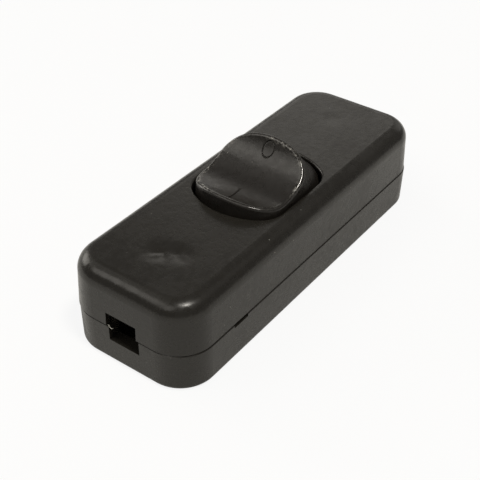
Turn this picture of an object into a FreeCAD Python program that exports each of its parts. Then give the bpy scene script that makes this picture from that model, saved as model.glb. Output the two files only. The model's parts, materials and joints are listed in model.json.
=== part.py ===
"""Inline cord switch: a two-part moulded case with a dished rocker, and the contact mechanism,
terminals and cord clamps inside it.

Millimetres. X runs along the cord and points away from the end marked I, Y across the case,
Z up from the surface that the base stands on. The rocker is modelled level, with its pivot at
the origin, and is then turned to the position with the I end pressed.
"""
import FreeCAD, Part
import math
import os
from FreeCAD import Placement, Rotation, Vector

# Case; its length follows from what it holds
case_width = 22.0
case_height = 14.4
parting_height = 6.3
wall = 2.0
roof = 1.8
floor = 1.8
corner_radius = 5.5
top_edge_radius = 2.5
bottom_edge_radius = 0.75
inner_edge_radius = 0.8
cover_draft = 0.25
base_draft = 0.08
parting_bevel = 0.1
cover_misfit = 0.12           # the cover sits this far off the base, towards +Y

# Register lip of the base, inside the cover's edge
lip_thickness = 0.9
lip_height = 1.2
lip_side_gap = 0.3
lip_top_gap = 0.2

# Pry slot in the parting line, on the -Y side
pry_slot_length = 3.1
pry_slot_height = 0.45
pry_slot_depth = 0.7
pry_slot_from_end = 11.9

# Cord entries, one half in each shell
entry_width = 5.3
entry_bottom = 3.95
entry_top = 8.55
entry_offset = -0.1
cover_entry_offset = 0.33     # the cover's half of the hole sits this far off the base's half

# Rocker, level, measured from its pivot
pivot_height = 9.0
rocker_tilt = 16.0            # to each side of level
rocker_half_width = 7.4
rocker_foot_end_radius = 9.8
rocker_foot_corner_radius = 5.2
rocker_foot_low = -0.6
rocker_crest_half_length = 6.9
rocker_crest_end_radius = 13.0
rocker_crest_corner_radius = 5.3
rocker_crest_rise = 2.6       # above the waist, where the pressed end stands in the window
rocker_waist_flare = 0.55     # the waist is this much longer than the crest, to each end
rocker_dish_radius = 8.85
rocker_rim_radius = 0.45
rocker_wall = 1.3
rocker_top_thickness = 1.5
rocker_rib = 1.0
rocker_rib_low = 2.6
rocker_ear_radius = 2.3
trunnion_radius = 1.4
trunnion_end_gap = 0.1
bearing_gap = 0.08

# Window in the cover
window_end_gap = 0.3
window_end_radius = 10.5
window_corner_radius = 4.2
window_side_gap = 0.3
window_edge_radius = 0.3

# Spring tube, spring and plunger of the rocker
tube_radius = 2.5
tube_low = -1.5
tube_bore_gap = 0.06
tube_bore_high = 4.8
plunger_radius = 1.5
plunger_tip = -3.92
plunger_shoulder = 0.4
plunger_spigot_radius = 0.75
plunger_spigot_height = 1.0
spring_wire = 0.32
spring_gap = 0.12
spring_turns = 5.0
spring_steps_per_turn = 16
spring_wire_sides = 8

# Bearing of the trunnions
bearing_block_half = 3.2
bearing_post_half = 1.3
bearing_post_side_gap = 0.1
bearing_post_step = 0.2       # the post's shoulder lies this far below the lip's top

# Brass strip parts
strip = 0.8
seat_height = 2.8             # top of the seats that the terminals rest on
terminal_half = 2.75
terminal_corner = 0.6
terminal_to_rocker = 0.85
terminal_to_middle = 1.65
line_strip_half_width = 1.5
neutral_strip_half_width = 0.9
neutral_strip_y = -5.1

# Terminal screws and clamp washers
terminal_screw_radius = 1.5
terminal_head_radius = 2.45
terminal_head_height = 1.7
terminal_screw_tip_gap = 0.25
terminal_screw_tip_height = 2.2
washer_half = 2.6
washer_thickness = 0.8
screw_hole_gap = 0.05

# Contact lever and saddle, measured from the lever's fulcrum
fulcrum_height = 4.55
lever_thickness = 0.6
lever_half_width = 1.9
lever_far_length = 8.4
lever_near_length = 4.6
lever_pin_radius = 0.45
lever_pin_gap = 0.06
saddle_half_length = 2.4
saddle_ear_half = 1.5
saddle_ear_gap = 0.3
saddle_ear_above = 0.75
contact_arm = 7.1
contact_radius = 1.3
contact_dome_radius = 3.0
moving_contact_height = 0.5
fixed_contact_height = 0.4
contact_gap = 0.05
tongue_length = 3.4
tongue_half_width = 1.9
tongue_margin = 0.3           # in front of the fixed contact
load_bend_gap = 0.2
load_strip_inset = 0.4
lever_corner_share = 0.5
lever_stop_from_end = 0.8
lever_stop_half_length = 0.5
lever_stop_half_width = 0.8

# Cord clamps
clamp_from_terminal = 2.3
clamp_bar_half_length = 7.1
clamp_bar_half_width = 1.7
clamp_bar_thickness = 1.2
clamp_corner_share = 0.9
clamp_bar_height = 7.2        # underside of the bar, on its pillars
clamp_tooth_height = 0.5
clamp_tooth_half_length = 2.3
clamp_tooth_half_width = 0.5
clamp_screw_y = 5.2
clamp_pillar_radius = 1.9
clamp_screw_radius = 1.1
clamp_head_radius = 1.9
clamp_head_height = 1.3
clamp_screw_length = 4.2
clamp_ledge_half = 1.1

# Case screws, on one diagonal, put in from below
case_screw_from_clamp = 5.0
case_screw_from_wall = 2.7
case_screw_from_side = 3.2
case_screw_radius = 1.25
case_head_radius = 2.15
case_head_height = 1.5
case_screw_length = 8.6
case_screw_seat = 2.6
case_recess_wall = 0.7
case_pillar_radius = 2.5
screw_end_gap = 0.6
screw_slot_width = 0.55
screw_slot_share = 0.45       # depth of the slot as a share of the head's height
screw_point_share = 0.5       # bevel of the point as a share of the shank's radius
head_edge_share = 0.4         # straight part of the head's side, and the arc's middle
head_crown_radius_share = 0.62
head_crown_height_share = 0.86

# Bosses of the cover that hold the clamp bars down
boss_radius = 2.1
boss_from_clamp = 1.0
boss_y = 0.9
boss_gap = 0.3

# Ribs
barrier_rib = 1.0
barrier_height = 6.0
cross_rib = 0.8
cross_rib_from_rocker = 0.35

# Allowances that leave no trace on the part
overlap = 0.5                 # joined solids run into each other by this much
clear = 1.0                   # cuts run past what they cut by this much
edge_margin = 0.1             # round the window, when its edges are picked

UP = Vector(0, 0, 1)
ALONG = Vector(1, 0, 0)
ACROSS = Vector(0, 1, 0)
LEVEL_TOLERANCE = 0.001

# Places that follow from the sizes above
tilt = math.radians(rocker_tilt)
window_rise = case_height - pivot_height
rocker_waist_half_length = rocker_crest_half_length + rocker_waist_flare
rocker_end_in_window = (rocker_waist_half_length + window_rise * math.sin(tilt)) / math.cos(tilt)
rocker_reach = math.hypot(rocker_end_in_window, window_rise)
rocker_waist_height = window_rise * math.cos(tilt) + rocker_end_in_window * math.sin(tilt)
rocker_crest_height = rocker_waist_height + rocker_crest_rise
terminal_x = rocker_reach + terminal_to_rocker + terminal_half
clamp_x = terminal_x + terminal_half + clamp_from_terminal + clamp_pillar_radius
case_screw_x = clamp_x + case_screw_from_clamp
inner_half_length = case_screw_x + case_screw_from_wall
case_length = 2 * (inner_half_length + wall)
inner_half_width = case_width / 2 - wall
roof_under = case_height - roof
lip_top = parting_height + lip_height
window_half_width = rocker_half_width + window_side_gap
trunnion_tip = inner_half_width - trunnion_end_gap
bearing_radius = trunnion_radius + bearing_gap
terminal_y = terminal_to_middle + terminal_half
strip_top = seat_height + strip
case_screw_y = inner_half_width - case_screw_from_side
case_recess_radius = case_head_radius + cover_misfit + 2 * screw_hole_gap
tongue_contact_plane = floor + strip + fixed_contact_height
spring_radius = plunger_radius + tube_bore_gap - spring_gap - spring_wire / 2


def at(x=0.0, y=0.0, z=0.0):
    """Placement that only moves."""
    return Placement(Vector(x, y, z), Rotation())


def moved(shape, placement):
    """Copy of a shape, moved by a placement."""
    copy = shape.copy()
    copy.Placement = placement.multiply(copy.Placement)
    return copy


def fused(shapes):
    """One clean solid made of shapes that overlap or touch."""
    first, *others = shapes
    return first.fuse(others).removeSplitter() if others else first


def box(x0, x1, y0, y1, z0, z1):
    """Box between two corners."""
    return Part.makeBox(x1 - x0, y1 - y0, z1 - z0, Vector(x0, y0, z0))


def upright(radius, z0, z1, x=0.0, y=0.0):
    """Upright cylinder between two heights."""
    return Part.makeCylinder(radius, z1 - z0, Vector(x, y, z0), UP)


def crosswise(radius, y0, y1, x=0.0, z=0.0):
    """Cylinder along Y between two places."""
    return Part.makeCylinder(radius, y1 - y0, Vector(x, y0, z), ACROSS)


def prism(points, direction):
    """Polygon swept along a vector."""
    return Part.Face(Part.makePolygon([*points, points[0]])).extrude(direction)


def end_of_sweep(radius, z):
    """Half-length, at a height, of what turns about the rocker's pivot within a radius."""
    return math.sqrt(radius**2 - (z - pivot_height) ** 2)


def polar(centre, radius, degrees):
    """Point at an angle round a centre, at the centre's height."""
    angle = math.radians(degrees)
    return centre + Vector(radius * math.cos(angle), radius * math.sin(angle), 0)


def joined_by_lines(arcs):
    """Closed wire of arcs, each joined to the next by a straight line."""
    edges = []
    for arc, following in zip(arcs, arcs[1:] + arcs[:1]):
        edges.append(arc.toShape())
        start, end = arc.EndPoint, following.StartPoint
        if start.distanceToPoint(end) > LEVEL_TOLERANCE:
            edges.append(Part.LineSegment(start, end).toShape())
    return Part.Wire(edges)


def rounded_rectangle(length, width, radius, z):
    """Wire of a rectangle with round corners, centred on the Z axis."""
    arcs = []
    for turn, (side_x, side_y) in zip((0, 90, 180, 270), ((1, 1), (-1, 1), (-1, -1), (1, -1))):
        centre = Vector(side_x * (length / 2 - radius), side_y * (width / 2 - radius), z)
        arcs.append(Part.Arc(*(polar(centre, radius, turn + part) for part in (0, 45, 90))))
    return joined_by_lines(arcs)


def barrel_outline(half_length, half_width, end_radius, corner, z):
    """Wire with straight sides and bowed ends that meet in round corners."""
    bow_x = half_length - end_radius
    corner_x = bow_x + math.sqrt((end_radius - corner) ** 2 - (half_width - corner) ** 2)
    lean = math.degrees(math.atan2(half_width - corner, corner_x - bow_x))
    arcs = []
    for side in (0, 180):
        flip = 1 if side == 0 else -1
        bow = Vector(flip * bow_x, 0, z)
        low = Vector(flip * corner_x, -flip * (half_width - corner), z)
        high = Vector(flip * corner_x, flip * (half_width - corner), z)
        arcs.append(Part.Arc(*(polar(low, corner, side + a) for a in (-90, -(90 + lean) / 2, -lean))))
        arcs.append(Part.Arc(*(polar(bow, end_radius, side + a) for a in (-lean, 0, lean))))
        arcs.append(Part.Arc(*(polar(high, corner, side + a) for a in (lean, (90 + lean) / 2, 90))))
    return joined_by_lines(arcs)


def lofted(wires):
    """Solid with straight walls between outlines that have the same edges."""
    return Part.makeLoft(wires, True, True)


def edges_at(shape, z):
    """Edges that lie at one height."""
    return [
        edge
        for edge in shape.Edges
        if abs(edge.CenterOfMass.z - z) < LEVEL_TOLERANCE
        and all(abs(vertex.Z - z) < LEVEL_TOLERANCE for vertex in edge.Vertexes)
    ]


def case_outline(z, inset, draft=0.0):
    """Outline of the case at a height, brought in all round by an inset and the draft."""
    shrink = 2 * (inset + draft)
    return rounded_rectangle(case_length - shrink, case_width - shrink, corner_radius - inset, z)


def case_solid(z0, z1, inset, draft_low, draft_high):
    """Drafted block with the case's outline, brought in all round by an inset."""
    return lofted([case_outline(z0, inset, draft_low), case_outline(z1, inset, draft_high)])


def bevelled_band(way):
    """Band of the case above or below the parting, brought in at the parting itself."""
    full_height = parting_height + way * parting_bevel
    return lofted([case_outline(parting_height, parting_bevel), case_outline(full_height, 0)])


def entry_cut(side, centre_y, z0, z1):
    """Block that cuts one half of a cord entry through an end wall."""
    inner = inner_half_length - overlap
    outer = case_length / 2 + clear
    x0, x1 = sorted((side * inner, side * outer))
    return box(x0, x1, centre_y - entry_width / 2, centre_y + entry_width / 2, z0, z1)


def screw(head_radius, head_height, radius, length):
    """Pan-head screw with a slot, seated at z 0 with its shank pointing down."""
    edge_height = head_height * head_edge_share
    point = radius * screw_point_share
    profile = [
        Part.Arc(
            Vector(head_radius, 0, edge_height),
            Vector(head_radius * head_crown_radius_share, 0, head_height * head_crown_height_share),
            Vector(0, 0, head_height),
        ).toShape(),
        Part.makePolygon(
            [
                Vector(0, 0, head_height),
                Vector(0, 0, -length),
                Vector(point, 0, -length),
                Vector(radius, 0, -length + point),
                Vector(radius, 0, 0),
                Vector(head_radius, 0, 0),
                Vector(head_radius, 0, edge_height),
            ]
        ),
    ]
    solid = Part.Face(Part.Wire(profile)).revolve(Vector(), UP, 360)
    depth = head_height * screw_slot_share
    half = screw_slot_width / 2
    slot = box(-head_radius, head_radius, -half, half, head_height - depth, head_height + clear)
    return solid.cut(slot)


def ring_of_terminals():
    """The four terminals as name, side along X and side along Y."""
    return (
        ("line_in", -1, 1),
        ("line_out", 1, 1),
        ("neutral_in", -1, -1),
        ("neutral_out", 1, -1),
    )


def case_screw_places():
    """The two case screws as name, x and y, before the cover's misfit."""
    return (("near", -case_screw_x, case_screw_y), ("far", case_screw_x, -case_screw_y))


def window_outline(z):
    """Outline of the window at a height, which leaves a gap round the rocker's sweep."""
    half_length = end_of_sweep(rocker_reach + window_end_gap, z)
    return barrel_outline(
        half_length, window_half_width, window_end_radius, window_corner_radius, z
    )


def window_cut(low):
    """Block that cuts the window, wider below, where the rocker's ends sweep further out."""
    below = Part.Face(window_outline(roof_under)).extrude(Vector(0, 0, low - roof_under))
    above = Part.Face(window_outline(case_height)).extrude(Vector(0, 0, clear))
    return fused([lofted([window_outline(roof_under), window_outline(case_height)]), below, above])


def make_cover():
    """Upper shell: window, bearings for the trunnions, pillars, bosses and cross ribs."""
    outside = case_solid(parting_height + parting_bevel, case_height, 0, 0, cover_draft)
    outside = outside.makeFillet(top_edge_radius, edges_at(outside, case_height))
    outside = fused([outside, bevelled_band(1)])
    inside = case_solid(parting_height, roof_under, wall, 0, cover_draft)
    inside = inside.makeFillet(inner_edge_radius, edges_at(inside, roof_under))
    shell = outside.cut(inside)

    block_low = lip_top + lip_top_gap
    buried = roof_under + overlap
    grown = [shell]
    for side in (-1, 1):
        y0, y1 = sorted((side * (window_half_width - overlap), side * (inner_half_width + overlap)))
        grown.append(box(-bearing_block_half, bearing_block_half, y0, y1, block_low, buried))
        rib_x = side * (rocker_reach + cross_rib_from_rocker + cross_rib / 2)
        rib_half = inner_half_width + overlap
        rib_faces = (rib_x - cross_rib / 2, rib_x + cross_rib / 2, -rib_half, rib_half)
        grown.append(box(*rib_faces, block_low, buried))
        boss_x = side * (clamp_x + boss_from_clamp)
        boss_low = clamp_bar_height + clamp_bar_thickness + boss_gap
        grown.append(upright(boss_radius, boss_low, buried, boss_x, side * boss_y))
    for _, x, y in case_screw_places():
        grown.append(upright(case_pillar_radius, parting_height, buried, x, y))
    shell = fused(grown)

    shell = shell.cut(window_cut(block_low - clear))
    window_end = end_of_sweep(rocker_reach + window_end_gap, case_height)
    rim = [
        edge
        for edge in edges_at(shell, case_height)
        if edge.BoundBox.XMin > -window_end - edge_margin
        and edge.BoundBox.XMax < window_end + edge_margin
        and abs(edge.CenterOfMass.y) < window_half_width + edge_margin
    ]
    shell = shell.makeFillet(window_edge_radius, rim)

    step = case_solid(parting_height - clear, block_low, wall - lip_thickness - lip_side_gap, 0, 0)
    step = step.cut(case_solid(parting_height - 2 * clear, lip_top + clear, wall + lip_side_gap, 0, 0))
    cuts = [step]
    slot_end = trunnion_tip + cover_misfit + trunnion_end_gap
    cuts.append(crosswise(bearing_radius, -slot_end, slot_end, 0, pivot_height))
    cuts.append(box(-bearing_radius, bearing_radius, -slot_end, slot_end, lip_top, pivot_height))
    centre = entry_offset + cover_entry_offset
    for side in (-1, 1):
        cuts.append(entry_cut(side, centre, parting_height - clear, entry_top))
    pilot_top = case_screw_seat + case_screw_length + screw_end_gap
    for _, x, y in case_screw_places():
        cuts.append(upright(case_screw_radius + screw_hole_gap, parting_height - clear, pilot_top, x, y))
    return moved(shell.cut(cuts).removeSplitter(), at(y=cover_misfit))


def make_base():
    """Lower shell: register lip, seats for the brass parts, posts, pillars and screw recesses."""
    outside = case_solid(0, parting_height - parting_bevel, 0, base_draft, 0)
    outside = outside.makeFillet(bottom_edge_radius, edges_at(outside, 0))
    lip = case_solid(parting_height - overlap, lip_top, wall - lip_thickness, 0, 0)
    shell = fused([outside, bevelled_band(-1), lip]).cut(case_solid(floor, lip_top + clear, wall, 0, 0))

    root = floor - overlap
    grown = [shell]
    post_top = pivot_height - bearing_radius
    for side in (-1, 1):
        inner = side * (window_half_width + bearing_post_side_gap)
        face = side * inner_half_width
        buried = side * (inner_half_width + overlap)
        profile = [
            Vector(-bearing_post_half, inner, root),
            Vector(-bearing_post_half, inner, post_top),
            Vector(-bearing_post_half, face, post_top),
            Vector(-bearing_post_half, face, lip_top - bearing_post_step),
            Vector(-bearing_post_half, buried, lip_top - bearing_post_step),
            Vector(-bearing_post_half, buried, root),
        ]
        grown.append(prism(profile, Vector(2 * bearing_post_half, 0, 0)))
        ledge_x = side * clamp_x
        grown.append(
            box(
                ledge_x - clamp_ledge_half,
                ledge_x + clamp_ledge_half,
                -clamp_screw_y,
                clamp_screw_y,
                root,
                entry_bottom,
            )
        )
        for screw_side in (-1, 1):
            y = screw_side * clamp_screw_y
            grown.append(upright(clamp_pillar_radius, root, clamp_bar_height, ledge_x, y))
        rib = sorted((side * (terminal_x - terminal_half), side * (terminal_x + terminal_half)))
        grown.append(box(*rib, -barrier_rib / 2, barrier_rib / 2, root, barrier_height))
    for _, side_x, side_y in ring_of_terminals():
        pad = Part.Face(rounded_rectangle(2 * terminal_half, 2 * terminal_half, terminal_corner, root))
        pad = pad.extrude(Vector(0, 0, seat_height - root))
        grown.append(moved(pad, at(side_x * terminal_x, side_y * terminal_y)))
    saddle_half_width = lever_half_width + saddle_ear_gap + strip
    saddle_seat = (-saddle_half_length, saddle_half_length, -saddle_half_width, saddle_half_width)
    grown.append(box(*saddle_seat, root, seat_height))
    stop_x = lever_stop_from_end - lever_near_length
    stop = box(
        stop_x - lever_stop_half_length,
        stop_x + lever_stop_half_length,
        -lever_stop_half_width,
        lever_stop_half_width,
        root,
        seat_height,
    )
    grown.append(stop)
    for _, x, y in case_screw_places():
        grown.append(upright(case_recess_radius + case_recess_wall, root, parting_height, x, y))
    shell = fused(grown)

    cuts = []
    for side in (-1, 1):
        cuts.append(entry_cut(side, entry_offset, entry_bottom, lip_top + clear))
        for screw_side in (-1, 1):
            bottom = clamp_bar_height + clamp_bar_thickness - clamp_screw_length - screw_end_gap
            hole = upright(
                clamp_screw_radius + screw_hole_gap,
                bottom,
                clamp_bar_height + clear,
                side * clamp_x,
                screw_side * clamp_screw_y,
            )
            cuts.append(hole)
    for _, side_x, side_y in ring_of_terminals():
        x, y = side_x * terminal_x, side_y * terminal_y
        bottom = terminal_screw_tip_height - terminal_screw_tip_gap
        hole_radius = terminal_screw_radius + 2 * screw_hole_gap
        cuts.append(upright(hole_radius, bottom, seat_height + clear, x, y))
    for _, x, y in case_screw_places():
        cuts.append(upright(case_recess_radius, -clear, case_screw_seat, x, y))
        hole_radius = case_screw_radius + cover_misfit + screw_hole_gap
        cuts.append(upright(hole_radius, 0, parting_height + clear, x, y))
    slot_x = -case_length / 2 + pry_slot_from_end
    slot_y = -case_width / 2
    cuts.append(
        box(
            slot_x - pry_slot_length / 2,
            slot_x + pry_slot_length / 2,
            slot_y - clear,
            slot_y + pry_slot_depth,
            parting_height - pry_slot_height,
            parting_height + clear,
        )
    )
    return shell.cut(cuts).removeSplitter()


def in_rocker_position(shape):
    """Turns a level part about the pivot, the far end up, and lifts it to the pivot's height."""
    return moved(shape, Placement(Vector(0, 0, pivot_height), Rotation(ACROSS, -rocker_tilt)))


def rocker_block(inset, low, high):
    """Block with the rocker's outline at each height, brought in all round by an inset.

    Its ends pass through the places, the foot and the waist, at which they stand in the window
    with the end raised and with it pressed.
    """
    foot = rocker_end_in_window * math.cos(tilt) + window_rise * math.sin(tilt)
    foot_height = window_rise * math.cos(tilt) - rocker_end_in_window * math.sin(tilt)

    def outline(half_length, z):
        share = min(1, max(0, (z - foot_height) / (rocker_crest_height - foot_height)))
        bow = rocker_foot_end_radius + share * (rocker_crest_end_radius - rocker_foot_end_radius)
        corner = rocker_foot_corner_radius
        corner += share * (rocker_crest_corner_radius - rocker_foot_corner_radius)
        sizes = (half_length - inset, rocker_half_width - inset, bow - inset, corner - inset)
        return barrel_outline(*sizes, z)

    places = (
        (foot, foot_height),
        (rocker_waist_half_length, rocker_waist_height),
        (rocker_crest_half_length, rocker_crest_height),
        (rocker_crest_half_length, high),
    )
    flank = Part.makeLoft([outline(*place) for place in places], True, False)
    skirt = Part.Face(outline(foot, low)).extrude(Vector(0, 0, foot_height - low))
    return fused([skirt, flank])


def make_rocker():
    """Hollow dished rocker with side ears, trunnions, cross ribs and the spring tube."""
    above = rocker_crest_height + clear
    dish_drop = math.sqrt(rocker_dish_radius**2 - rocker_crest_half_length**2)
    dish_axis = rocker_crest_height + dish_drop
    reach = rocker_half_width + clear
    dish = crosswise(rocker_dish_radius, -reach, reach, 0, dish_axis)
    outside = rocker_block(0, rocker_foot_low, above).cut(dish)
    rim = [
        edge
        for edge in outside.Edges
        if all(
            abs(math.hypot(point.x, point.z - dish_axis) - rocker_dish_radius) < 10 * LEVEL_TOLERANCE
            for point in edge.discretize(5)
        )
    ]
    outside = outside.makeFillet(rocker_rim_radius, rim)
    inside = rocker_block(rocker_wall, rocker_foot_low - clear, above)
    under_radius = rocker_dish_radius + rocker_top_thickness
    inside = inside.cut(crosswise(under_radius, -reach, reach, 0, dish_axis))
    shell = outside.cut(inside)

    into_top = dish_axis - rocker_dish_radius - rocker_top_thickness + overlap
    inner = rocker_half_width - rocker_wall
    grown = [shell, upright(tube_radius, tube_low, into_top)]
    for side in (-1, 1):
        ear = sorted((side * inner, side * rocker_half_width))
        grown.append(crosswise(rocker_ear_radius, *ear))
        trunnion = sorted((side * inner, side * trunnion_tip))
        grown.append(crosswise(trunnion_radius, *trunnion))
        rib = sorted((side * (tube_radius - overlap), side * (inner + overlap)))
        grown.append(box(-rocker_rib / 2, rocker_rib / 2, *rib, rocker_rib_low, into_top))
    bore = upright(plunger_radius + tube_bore_gap, tube_low - clear, tube_bore_high)
    return in_rocker_position(fused(grown).cut(bore))


def make_plunger():
    """Round-nosed pin that slides in the spring tube."""
    nose = plunger_tip + plunger_radius
    body = upright(plunger_radius, nose, plunger_shoulder)
    ball = Part.makeSphere(plunger_radius, Vector(0, 0, nose))
    spigot_top = plunger_shoulder + plunger_spigot_height
    spigot = upright(plunger_spigot_radius, plunger_shoulder - overlap, spigot_top)
    return in_rocker_position(fused([body, ball, spigot]))


def make_spring():
    """Coil spring between the plunger's shoulder and the end of the tube's bore."""
    low = plunger_shoulder + spring_wire / 2
    height = tube_bore_high - plunger_shoulder - spring_wire
    rise = math.degrees(math.atan2(height / spring_turns, 2 * math.pi * spring_radius))
    corners = []
    for side in range(spring_wire_sides):
        angle = 2 * math.pi * side / spring_wire_sides
        corners.append(Vector(math.cos(angle), 0, math.sin(angle)) * (spring_wire / 2))
    section = moved(Part.makePolygon([*corners, corners[0]]), Placement(Vector(), Rotation(ALONG, rise)))
    section = moved(section, at(x=spring_radius))
    steps = round(spring_turns * spring_steps_per_turn)
    sections = []
    for step in range(steps + 1):
        turn = Rotation(UP, 360 * spring_turns * step / steps)
        place = Placement(Vector(0, 0, low + height * step / steps), turn)
        sections.append(moved(section, place))
    return in_rocker_position(lofted(sections))


def lever_tilt():
    """Angle, in degrees, at which the moving contact rests on the fixed one."""
    below = lever_thickness / 2 + moving_contact_height - contact_dome_radius
    drop = fulcrum_height - tongue_contact_plane - contact_gap - contact_dome_radius
    to_dome = math.hypot(contact_arm, below)
    return math.degrees(math.asin(drop / to_dome) - math.atan2(below, contact_arm))


def in_lever_position(shape):
    """Turns a level part about the fulcrum, the contact end down, and lifts it to its height."""
    return moved(shape, Placement(Vector(0, 0, fulcrum_height), Rotation(ACROSS, lever_tilt())))


def make_lever():
    """See-saw strip with a rolled pin across it, on which it rocks."""
    half = lever_thickness / 2
    length = lever_far_length + lever_near_length
    corner = lever_half_width * lever_corner_share
    outline = rounded_rectangle(length, 2 * lever_half_width, corner, -half)
    blade = Part.Face(outline).extrude(Vector(0, 0, lever_thickness))
    blade = moved(blade, at(x=(lever_far_length - lever_near_length) / 2))
    pin_end = lever_half_width + saddle_ear_gap + strip
    return in_lever_position(fused([blade, crosswise(lever_pin_radius, -pin_end, pin_end)]))


def make_moving_contact():
    """Domed silver rivet under the lever's far end."""
    face = -lever_thickness / 2
    low = face - moving_contact_height
    dome = Part.makeSphere(contact_dome_radius, Vector(contact_arm, 0, low + contact_dome_radius))
    return in_lever_position(upright(contact_radius, low - clear, face, contact_arm).common(dome))


def make_fixed_contact():
    """Flat silver rivet on the load terminal's tongue."""
    tongue_top = floor + strip
    return upright(contact_radius, tongue_top, tongue_top + fixed_contact_height, contact_arm)


def terminal_plate(side_x, side_y):
    """Flat end of a brass part, under a terminal screw."""
    outline = rounded_rectangle(2 * terminal_half, 2 * terminal_half, terminal_corner, seat_height)
    plate = Part.Face(outline).extrude(Vector(0, 0, strip))
    return moved(plate, at(side_x * terminal_x, side_y * terminal_y))


def terminal_hole(side_x, side_y):
    """Threaded hole of a terminal plate, at the thread's outer size."""
    x, y = side_x * terminal_x, side_y * terminal_y
    return upright(terminal_screw_radius + screw_hole_gap, 0, strip_top + clear, x, y)


def make_line_terminal():
    """Terminal plate with a strip to the saddle, whose notched ears carry the lever's pin."""
    ear_in = lever_half_width + saddle_ear_gap
    ear_out = ear_in + strip
    strip_y0 = ear_out - strip
    strip_y1 = strip_y0 + 2 * line_strip_half_width
    top = fulcrum_height + saddle_ear_above
    parts = [
        terminal_plate(-1, 1),
        box(-saddle_half_length, saddle_half_length, -ear_out, ear_out, seat_height, strip_top),
        box(-terminal_x, -saddle_half_length + overlap, strip_y0, strip_y1, seat_height, strip_top),
    ]
    for side in (-1, 1):
        ear = sorted((side * ear_in, side * ear_out))
        parts.append(box(-saddle_ear_half, saddle_ear_half, *ear, seat_height, top))
    notch_radius = lever_pin_radius + lever_pin_gap
    notch_end = ear_out + clear
    notch = fused(
        [
            crosswise(notch_radius, -notch_end, notch_end, 0, fulcrum_height),
            box(-notch_radius, notch_radius, -notch_end, notch_end, fulcrum_height, top + clear),
        ]
    )
    return fused(parts).cut([notch, terminal_hole(-1, 1)])


def make_load_terminal():
    """Terminal plate whose strip steps down to the tongue that carries the fixed contact."""
    inner = terminal_x - terminal_half
    tongue_start = contact_arm - contact_radius - tongue_margin
    bend = inner - load_bend_gap
    strip_y0 = terminal_y - terminal_half + load_strip_inset
    strip_y1 = strip_y0 + 2 * line_strip_half_width
    step = [
        Vector(inner + clear, strip_y0, strip_top),
        Vector(bend - strip, strip_y0, strip_top),
        Vector(bend - strip, strip_y0, floor + strip),
        Vector(tongue_start + tongue_length - overlap, strip_y0, floor + strip),
        Vector(tongue_start + tongue_length - overlap, strip_y0, floor),
        Vector(bend, strip_y0, floor),
        Vector(bend, strip_y0, seat_height),
        Vector(inner + clear, strip_y0, seat_height),
    ]
    tongue = box(
        tongue_start, tongue_start + tongue_length, -tongue_half_width, strip_y1, floor, floor + strip
    )
    width = Vector(0, strip_y1 - strip_y0, 0)
    return fused([terminal_plate(1, 1), prism(step, width), tongue]).cut(terminal_hole(1, 1))


def make_neutral_link():
    """Straight-through conductor: two terminal plates joined by a narrow strip."""
    y0 = neutral_strip_y - neutral_strip_half_width
    y1 = neutral_strip_y + neutral_strip_half_width
    middle = box(-terminal_x, terminal_x, y0, y1, seat_height, strip_top)
    plates = [terminal_plate(side, -1) for side in (-1, 1)]
    return fused([*plates, middle]).cut([terminal_hole(side, -1) for side in (-1, 1)])


def make_washer(side_x, side_y):
    """Square clamp washer that presses the wire on its terminal plate."""
    outline = rounded_rectangle(2 * washer_half, 2 * washer_half, terminal_corner, strip_top)
    plate = Part.Face(outline).extrude(Vector(0, 0, washer_thickness))
    hole = upright(terminal_screw_radius + 2 * screw_hole_gap, 0, case_height)
    return moved(plate.cut(hole), at(side_x * terminal_x, side_y * terminal_y))


def make_terminal_screw(side_x, side_y):
    """Terminal screw, down on its washer."""
    seat = strip_top + washer_thickness
    length = seat - terminal_screw_tip_height
    shape = screw(terminal_head_radius, terminal_head_height, terminal_screw_radius, length)
    return moved(shape, at(side_x * terminal_x, side_y * terminal_y, seat))


def make_cord_clamp(side):
    """Bar across the cord, with a tooth under it and a hole at each end."""
    top = clamp_bar_height + clamp_bar_thickness
    corner = clamp_bar_half_width * clamp_corner_share
    bar_sizes = (2 * clamp_bar_half_width, 2 * clamp_bar_half_length)
    outline = rounded_rectangle(*bar_sizes, corner, clamp_bar_height)
    bar = Part.Face(outline).extrude(Vector(0, 0, clamp_bar_thickness))
    tooth_low = clamp_bar_height - clamp_tooth_height
    tooth = prism(
        [
            Vector(-2 * clamp_tooth_half_width, -clamp_tooth_half_length, clamp_bar_height + overlap),
            Vector(-clamp_tooth_half_width, -clamp_tooth_half_length, tooth_low),
            Vector(clamp_tooth_half_width, -clamp_tooth_half_length, tooth_low),
            Vector(2 * clamp_tooth_half_width, -clamp_tooth_half_length, clamp_bar_height + overlap),
        ],
        Vector(0, 2 * clamp_tooth_half_length, 0),
    )
    hole_radius = clamp_screw_radius + 2 * screw_hole_gap
    holes = [
        upright(hole_radius, tooth_low - clear, top + clear, 0, way * clamp_screw_y) for way in (-1, 1)
    ]
    return moved(fused([bar, tooth]).cut(holes), at(side * clamp_x))


def make_clamp_screw(side, way):
    """Screw of a cord clamp."""
    shape = screw(clamp_head_radius, clamp_head_height, clamp_screw_radius, clamp_screw_length)
    return moved(shape, at(side * clamp_x, way * clamp_screw_y, clamp_bar_height + clamp_bar_thickness))


def make_case_screw(x, y):
    """Self-tapping screw from below, in the cover's pilot hole."""
    shape = screw(case_head_radius, case_head_height, case_screw_radius, case_screw_length)
    place = Vector(x, y + cover_misfit, case_screw_seat)
    return moved(shape, Placement(place, Rotation(ALONG, 180)))


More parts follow.
